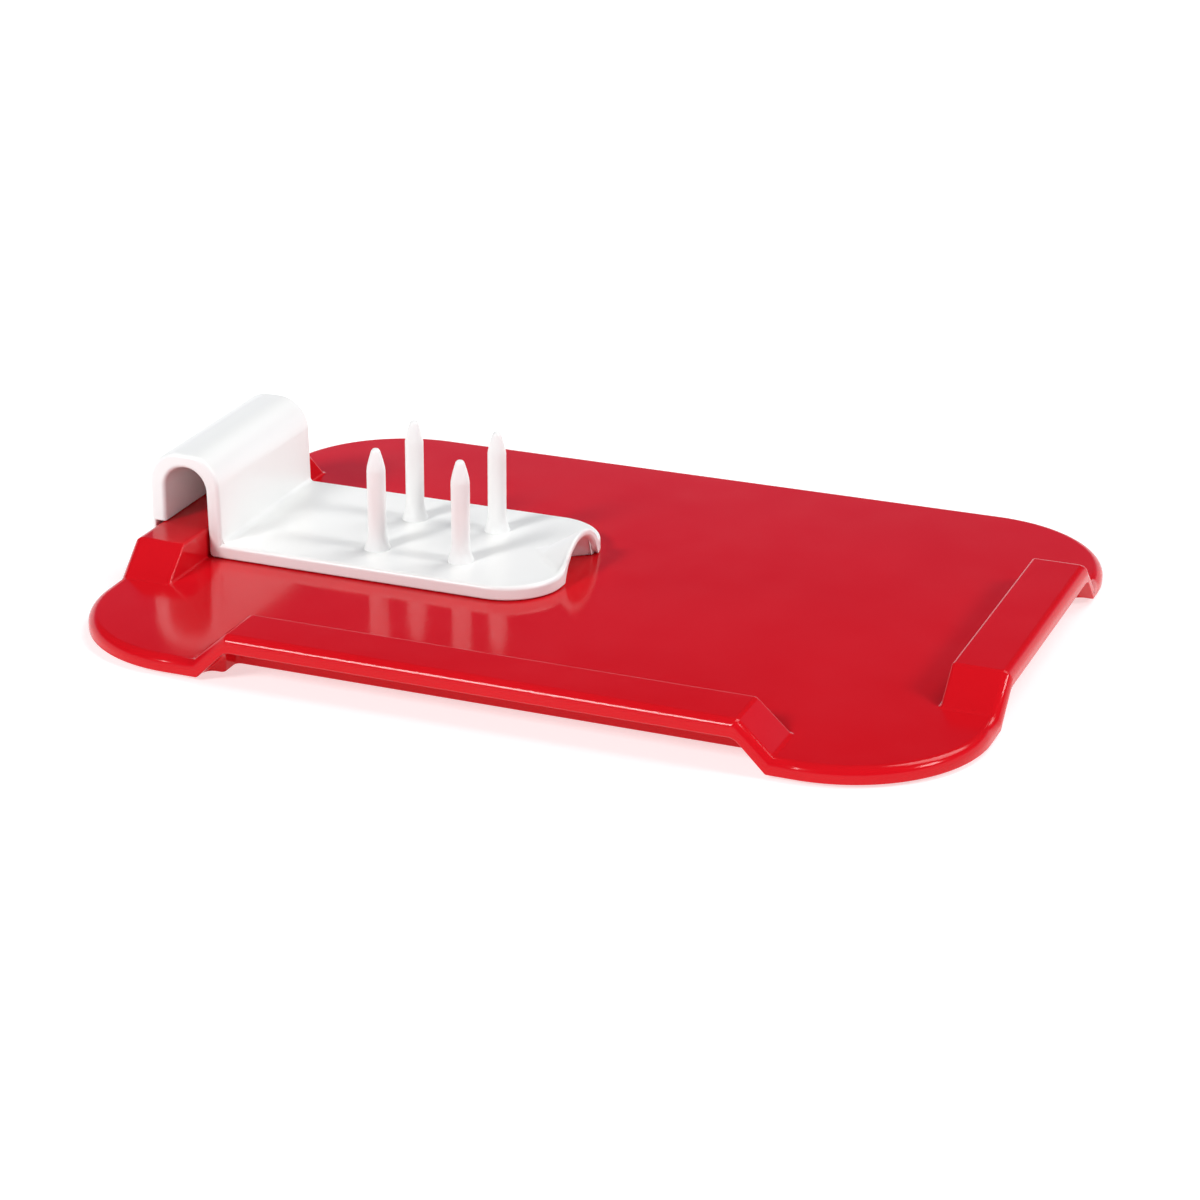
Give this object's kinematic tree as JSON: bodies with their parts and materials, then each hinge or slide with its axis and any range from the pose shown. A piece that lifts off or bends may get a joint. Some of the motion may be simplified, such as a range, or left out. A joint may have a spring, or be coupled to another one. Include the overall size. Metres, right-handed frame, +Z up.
{
  "type": "one-handed cutting board",
  "caption": "Flat cutting board with raised edge rails and a sliding spiked food holder, for preparing food with one hand.",
  "frame": {"origin": "centre of the board in plan, at the level the feet stand on", "axes": "+X along the board's length to the user's right, +Y away from the user, +Z up"},
  "size_m": [0.3075, 0.2266, 0.0474],
  "materials": {
    "red_plastic": "gloss",
    "white_plastic": "semi-gloss",
    "foot_rubber": "matt"
  },
  "bodies": {
    "board_body": {"board": "red_plastic", "foot_near_left": "foot_rubber", "foot_near_right": "foot_rubber", "foot_far_left": "foot_rubber", "foot_far_right": "foot_rubber"},
    "holder_body": {"food_holder": "white_plastic", "spike_near_left": "white_plastic", "spike_near_right": "white_plastic", "spike_far_left": "white_plastic", "spike_far_right": "white_plastic"}
  },
  "joints": [
    {"name": "holder_slide", "type": "slide", "parent": "board_body", "child": "holder_body", "axis": [0, 1, 0], "range_m": [-0.0155, 0.0095]}
  ]
}
